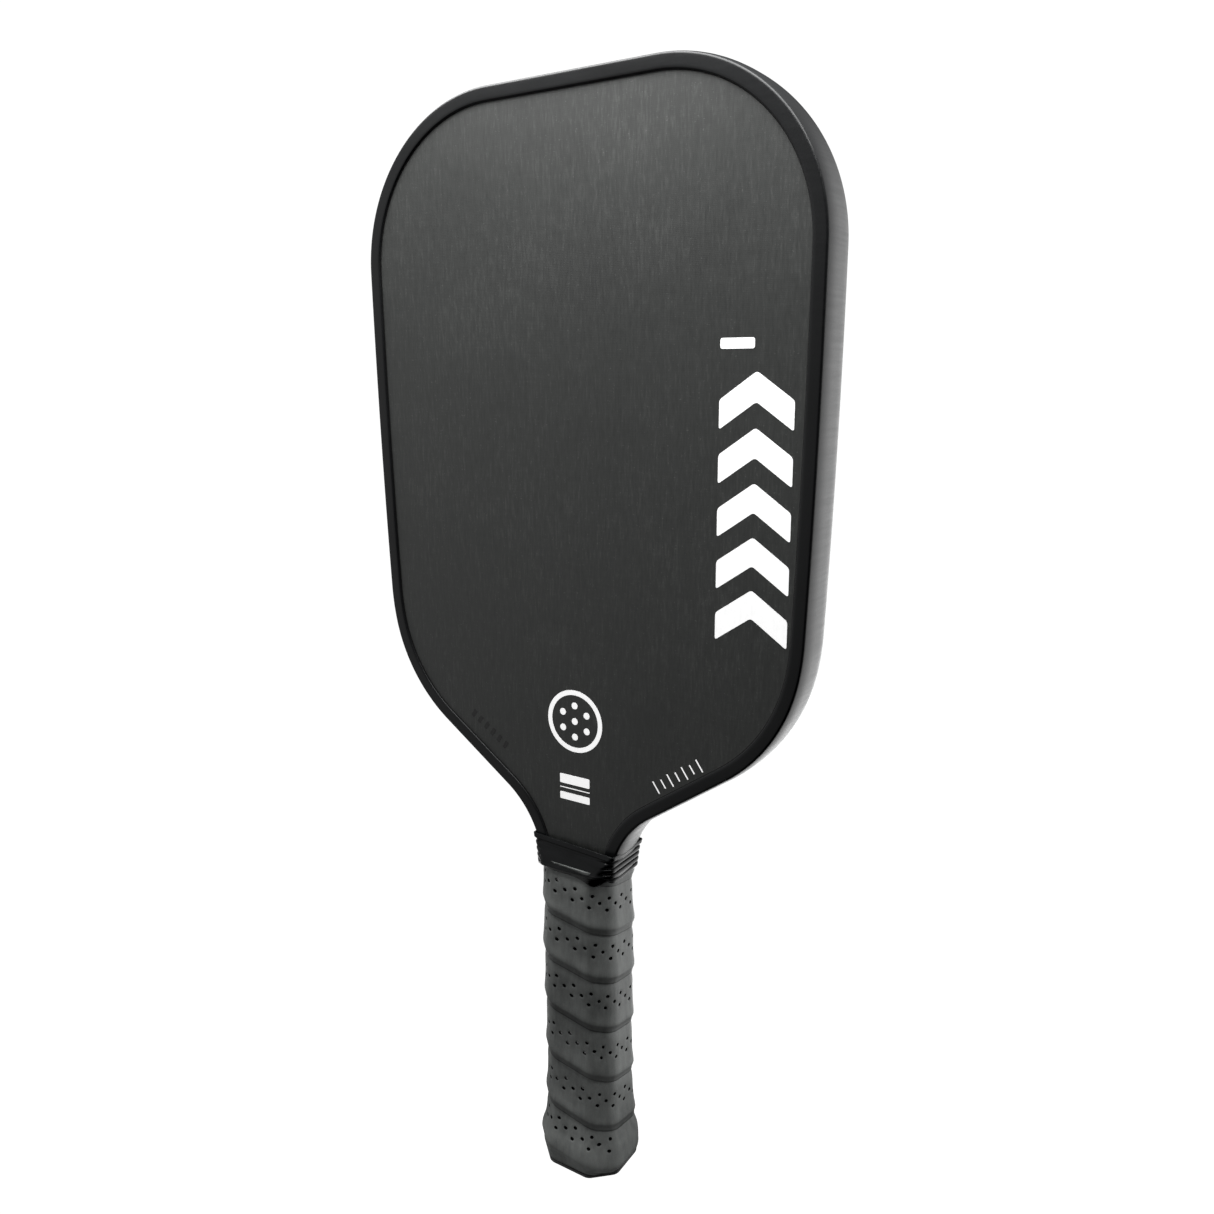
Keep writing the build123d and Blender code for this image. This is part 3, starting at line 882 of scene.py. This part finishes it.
def build_tape(material):
    """The finishing tape under the collar. It sags a little lower on one bevel, where its dark vinyl stands
    partly for the tape and partly, as painted shade, for the shadow under the collar's corner.
    """
    stations = ring_stations(8, 5)
    # The sag shows dark vinyl under the collar's corner: part tape, part painted shade for the shadow there.
    low = TAPE_LOW_Z - TAPE_SAG * np.exp(-(((stations - TAPE_SAG_U) / TAPE_SAG_WIDTH) ** 2))
    rows = []
    for share, lift in ((0, 0.1), (0.02, 0.22), (0.1, 0.28), (0.5, 0.3), (1, 0.3), (1, 0.02), (0.5, 0.0)):
        z = low + (TAPE_TOP_Z - low) * share
        sizes = curve_through(GRIP_ROWS, z) - STRIP_INSET
        height = wrapped_height(stations, z) + lift
        flat, _ = section_points(stations, sizes, np.full(len(z), GRIP_CORNER - STRIP_INSET), height)
        rows.append(np.column_stack([flat, z]))
    tape = ring_mesh("finishing_tape_band", rows, material, 60, closed=True)
    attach(tape, "root")
    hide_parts("finishing_tape")


def build_butt_cap(material):
    """The flared cup under the wrap, with its thin rim, a rounded edge and a recessed end panel."""
    stations = ring_stations(8, 6)
    each = np.ones(len(stations))
    rim_sizes = np.tile(CAP_RIM, (len(stations), 1))
    inner_sizes = np.tile(CAP_INSIDE, (len(stations), 1))
    rows = []

    def rim(z, inward):
        flat, _ = section_points(stations, rim_sizes - inward, each * max(4.4 - inward * 0.5, 0.6), each * 0)
        rows.append(np.column_stack([flat, each * z]))

    for z, inward in CAP_RIM_RINGS:
        rim(z, inward)
    for z in (4.0, 7.0, 10.0, 13.0, 16.0, 19.0, 22.0, 25.0, 27.0):
        sizes = curve_through(GRIP_ROWS, each * z) - STRIP_INSET - 0.25
        flat, _ = section_points(stations, sizes, each * 2.5, each * 0)
        rows.append(np.column_stack([flat, each * z]))
    for z in (27.0, 15.0, 3.0):
        flat, _ = section_points(stations, inner_sizes, each * 0.6, each * 0)
        rows.append(np.column_stack([flat, each * z]))
    cap = ring_mesh("butt_cap_cup", rows, material, 40, closed=False)
    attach(cap, "root")
    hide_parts("butt_cap")


# --- prints on the front face -----------------------------------------------------------------

PRINT_RISE = 0.045
ARC_STEPS = 5


def rounded(corners, radius):
    """A polygon with each corner cut by a small arc."""
    corners = np.array(corners, float)
    points = []
    for k, corner in enumerate(corners):
        to_last = corners[k - 1] - corner
        to_next = corners[(k + 1) % len(corners)] - corner
        to_last, reach_last = to_last / np.linalg.norm(to_last), np.linalg.norm(to_last)
        to_next, reach_next = to_next / np.linalg.norm(to_next), np.linalg.norm(to_next)
        reach = min(radius, 0.45 * reach_last, 0.45 * reach_next)
        start, end = corner + to_last * reach, corner + to_next * reach
        for w in np.linspace(0, 1, ARC_STEPS):
            points.append((1 - w) ** 2 * start + 2 * w * (1 - w) * corner + w**2 * end)
    return points


def print_piece(name, outlines, material, holes=()):
    """Flat ink shapes on the front face. Each outline is a closed polygon of (x, z) points."""
    points, faces = [], []
    for outline, inner in [(o, None) for o in outlines] + list(holes):
        loops = [outline] if inner is None else [outline, inner]
        starts = []
        for loop in loops:
            starts.append(len(points))
            points += [(x, -FACE_HALF - PRINT_RISE, z) for x, z in loop]
            points += [(x, -FACE_HALF - 0.002, z) for x, z in loop]
        count = len(outline)
        first = starts[0]
        for start, turn in zip(starts, (1, -1)):
            for k in range(count):
                after = (k + 1) % count
                quad = (start + k, start + after, start + count + after, start + count + k)
                faces.append(quad if turn > 0 else quad[::-1])
        if inner is None:
            faces.append(tuple(range(first, first + count))[::-1])
            faces.append(tuple(range(first + count, first + 2 * count)))
        else:
            second = starts[1]
            for k in range(count):
                after = (k + 1) % count
                faces.append((first + after, first + k, second + k, second + after))
                low, high = first + count, second + count
                faces.append((low + k, low + after, high + after, high + k))
    piece = new_mesh(name, points, faces, material, 30)
    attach(piece, "root")


def circle(x, z, radius, count=28):
    return [(x + radius * cos(w), z + radius * sin(w)) for w in np.linspace(0, 2 * pi, count, endpoint=False)]


def bar(x, z, width, height, lean=0.0):
    """A rectangle about its centre, turned by an angle in degrees."""
    w, c, n = 0.5 * width, cos(radians(lean)), sin(radians(lean))
    h = 0.5 * height
    return [(x + px * c - pz * n, z + px * n + pz * c) for px, pz in ((-w, -h), (w, -h), (w, h), (-w, h))]


def build_prints(white, dark):
    """Generic graphics where the front face carries print: chevrons up the right side, a ball
    above the throat, a blank label, and small marks along both shoulders."""
    left, right, rise, stroke, step = 58.0, 84.0, 9.0, 9.5, 17.6
    middle = (left + right) / 2
    chevrons = []
    for k in range(5):
        z = 233.0 + k * step
        shape = [(left, z), (middle, z + rise), (right, z), (right, z + stroke), (middle, z + rise + stroke),
                 (left, z + stroke)]
        chevrons.append(rounded(shape, 1.1))
    chevrons.append(rounded(bar(64.0, 330.5, 12.0, 3.4), 0.9))
    print_piece("chevron_print", chevrons, white)

    x, z, dot, spread = 0.0, 193.0, 1.35, 6.2
    turns = np.radians(range(30, 390, 60))
    dots = [circle(x + spread * cos(w), z + spread * sin(w), dot, 16) for w in turns]
    dots.append(circle(x, z, dot, 16))
    print_piece("ball_print", dots, white, holes=[(circle(x, z, 12.3, 56), circle(x, z, 10.4, 56))])

    label = [rounded(bar(-0.4, 162.0, 13.6, 2.9), 0.4), bar(-0.4, 165.4, 13.6, 0.35)]
    label.append(rounded(bar(-0.4, 169.0, 13.6, 3.8), 0.5))
    print_piece("blank_label_print", label, white)

    ticks = [bar(35.5 + 2.9 * k, 174.2 + 2.0 * k, 0.5, 3.6 if k % 2 else 5.0, 34.5) for k in range(7)]
    print_piece("right_shoulder_marks", ticks, white)
    serial = [rounded(bar(-33.5 - 3.1 * k, 177.2 + 2.1 * k, 1.7, 3.3, -34.5), 0.4) for k in range(6)]
    print_piece("left_shoulder_marks", serial, dark)


# --- stage ------------------------------------------------------------------------------------

CAMERA_PLACE = Vector((208.13, -312.4, 322.22)) * MM
CAMERA_FORWARD = Vector((-0.52277, 0.82241, -0.22438))
CAMERA_ROLL = radians(-0.296)
CAMERA_LENS = 30.436
FLOOR_RADIUS = 0.09
FLOOR_SIDES = 96
FLOOR_DROP = 0.1
PLAIN_WHITE = 1.05

# Panels of the tent: direction, cosines where a panel's glow starts and is full, and strength,
# which is negative where the tent is dimmer than TENT_DIM.
TENT_DIM = 0.44
TENT_PANELS = [
    ((0.72, -0.66, -0.2), 0.0, 0.8, -0.44),
    ((-0.75, -0.6, 0.3), 0.5, 1.0, 0.36),
    ((-0.43, 0.79, -0.44), 0.7, 1.0, 1.7),
    ((-0.5, 0.8, 0.35), 0.75, 1.0, -0.38),
    ((0.0, 0.0, -1.0), 0.1, 0.9, -0.2),
    ((0.45, 0.8, -0.3), 0.55, 1.0, 1.9),
    ((0.85, 0.5, 0.1), 0.6, 1.0, 0.9),
]


def build_camera():
    data = bpy.data.cameras.new("camera")
    data.lens = CAMERA_LENS
    data.sensor_width = 36.0
    data.clip_start = 0.01
    camera = bpy.data.objects.new("camera", data)
    bpy.context.scene.collection.objects.link(camera)
    turn = CAMERA_FORWARD.to_track_quat("-Z", "Y").to_matrix().to_4x4()
    camera.matrix_world = Matrix.Translation(CAMERA_PLACE) @ turn @ Matrix.Rotation(CAMERA_ROLL, 4, "Z")
    bpy.context.scene.camera = camera


def build_floor():
    """A round pale floor under the paddle, which the camera sees as plain white."""
    s = Shader("pale_floor", Roughness=0.9, Specular_IOR_Level=0.1)
    fleck = s.noise(300, detail=2)
    material = s.finish(s.ramp(fleck, (0.3, 0.2), (0.7, 0.24)), None, s.bump(fleck, 0.0002, 0.1))
    glow = s.tree.nodes.new("ShaderNodeLightPath").outputs["Is Camera Ray"]
    s.main.inputs["Emission Color"].default_value = (1, 1, 1, 1)
    s.put(s.main.inputs["Emission Strength"], glow)
    radius, turns = FLOOR_RADIUS / MM, np.linspace(0, 2 * pi, FLOOR_SIDES + 1)[:-1]
    ring = [(radius * cos(w), radius * sin(w), -FLOOR_DROP) for w in turns]
    floor = new_mesh("floor", ring, [tuple(range(FLOOR_SIDES))], material)


def area_light(name, place, target, size, power):
    data = bpy.data.lights.new(name, "AREA")
    data.shape = "RECTANGLE"
    data.size, data.size_y = size
    data.energy = power
    light = bpy.data.objects.new(name, data)
    light.location = place
    light.visible_camera = False
    light.rotation_euler = (Vector(target) - Vector(place)).to_track_quat("-Z", "Y").to_euler()
    bpy.context.scene.collection.objects.link(light)


def build_world():
    """A grey tent with brighter and dimmer panels, which the camera sees as plain white."""
    world = bpy.data.worlds.new("tent")
    world.use_nodes = True
    bpy.context.scene.world = world
    tree = world.node_tree

    def node(kind):
        return tree.nodes.new("ShaderNode" + kind)

    direction = node("TexCoord").outputs["Generated"]
    total = None
    for towards, low, high, strength in TENT_PANELS:
        dot = node("VectorMath")
        dot.operation = "DOT_PRODUCT"
        tree.links.new(direction, dot.inputs[0])
        dot.inputs[1].default_value = Vector(towards).normalized()
        span = node("MapRange")
        span.interpolation_type = "SMOOTHSTEP"
        for socket, value in zip(list(span.inputs)[1:5], (low, high, 0.0, strength)):
            socket.default_value = value
        tree.links.new(dot.outputs["Value"], span.inputs[0])
        add = node("Math")
        add.operation = "ADD"
        tree.links.new(span.outputs["Result"], add.inputs[0])
        if total is None:
            add.inputs[1].default_value = TENT_DIM
        else:
            tree.links.new(total, add.inputs[1])
        total = add.outputs[0]
    shade = tree.nodes["Background"]
    shade.inputs["Color"].default_value = (1, 1, 1, 1)
    tree.links.new(total, shade.inputs["Strength"])
    plain = node("Background")
    plain.inputs["Color"].default_value = (1, 1, 1, 1)
    plain.inputs["Strength"].default_value = PLAIN_WHITE
    mix = node("MixShader")
    tree.links.new(node("LightPath").outputs["Is Camera Ray"], mix.inputs["Fac"])
    tree.links.new(shade.outputs[0], mix.inputs[1])
    tree.links.new(plain.outputs[0], mix.inputs[2])
    tree.links.new(mix.outputs[0], tree.nodes["World Output"].inputs["Surface"])


def finish_frame_nodes(nodes):
    """Gives every carried-over node its own procedural material."""
    carbon = carbon_face()
    cured = hidden_layer("cured_ply", 0.012, 0.03, 0.4, (900, 900, 120))
    film = hidden_layer("film_veil", 0.45, 0.62, 0.5, 800)
    tape = hidden_layer("adhesive_tape", 0.5, 0.68, 0.45, 500)
    foam = hidden_layer("pallet_foam", (0.22, 0.19, 0.14), (0.34, 0.3, 0.23), 0.85, 900)
    cells = hidden_layer("core_plastic", 0.55, 0.7, 0.35, 120)
    steel = staple_wire()
    chosen = {
        "front_outer_carbon_ply": carbon, "rear_outer_carbon_ply": carbon,
        "front_inner_carbon_ply": cured, "rear_inner_carbon_ply": cured,
        "front_bonding_film": film, "rear_bonding_film": film,
        "front_pallet_tape": tape, "rear_pallet_tape": tape,
        "edge_guard_tape": tape, "grip_backing_tape": tape,
        "front_handle_pallet": foam, "rear_handle_pallet": foam,
        "honeycomb_core": cells, "butt_cap_staples": steel, "grip_start_staple": steel,
    }
    for name, material in chosen.items():
        for slot in nodes[name].material_slots:
            slot.material = material


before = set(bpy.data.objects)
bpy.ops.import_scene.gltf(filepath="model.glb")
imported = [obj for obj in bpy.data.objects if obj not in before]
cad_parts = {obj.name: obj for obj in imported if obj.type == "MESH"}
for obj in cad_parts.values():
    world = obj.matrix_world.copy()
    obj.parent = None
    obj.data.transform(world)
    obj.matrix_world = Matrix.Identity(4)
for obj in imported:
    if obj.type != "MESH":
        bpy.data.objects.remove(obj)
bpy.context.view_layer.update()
bpy.context.scene.view_settings.view_transform = "Standard"

finish_frame_nodes(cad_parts)
build_guard(moulded_guard())
build_crease_shadow_beads(crease_shadow_bead())
build_grip(grip_skin(), grip_felt())
build_collar(collar_rubber())
build_tape(tape_vinyl())
build_butt_cap(cap_plastic())
build_prints(print_ink("white_ink", 0.82, 0.90, 0.45, 0.55), print_ink("dark_ink", 0.003, 0.006, 0.3, 0.0))

build_camera()
build_floor()
build_world()
area_light("overhead_box", (0.0, -0.05, 0.535), (0.0, -0.04, 0.0), (0.42, 0.14), 2.85)
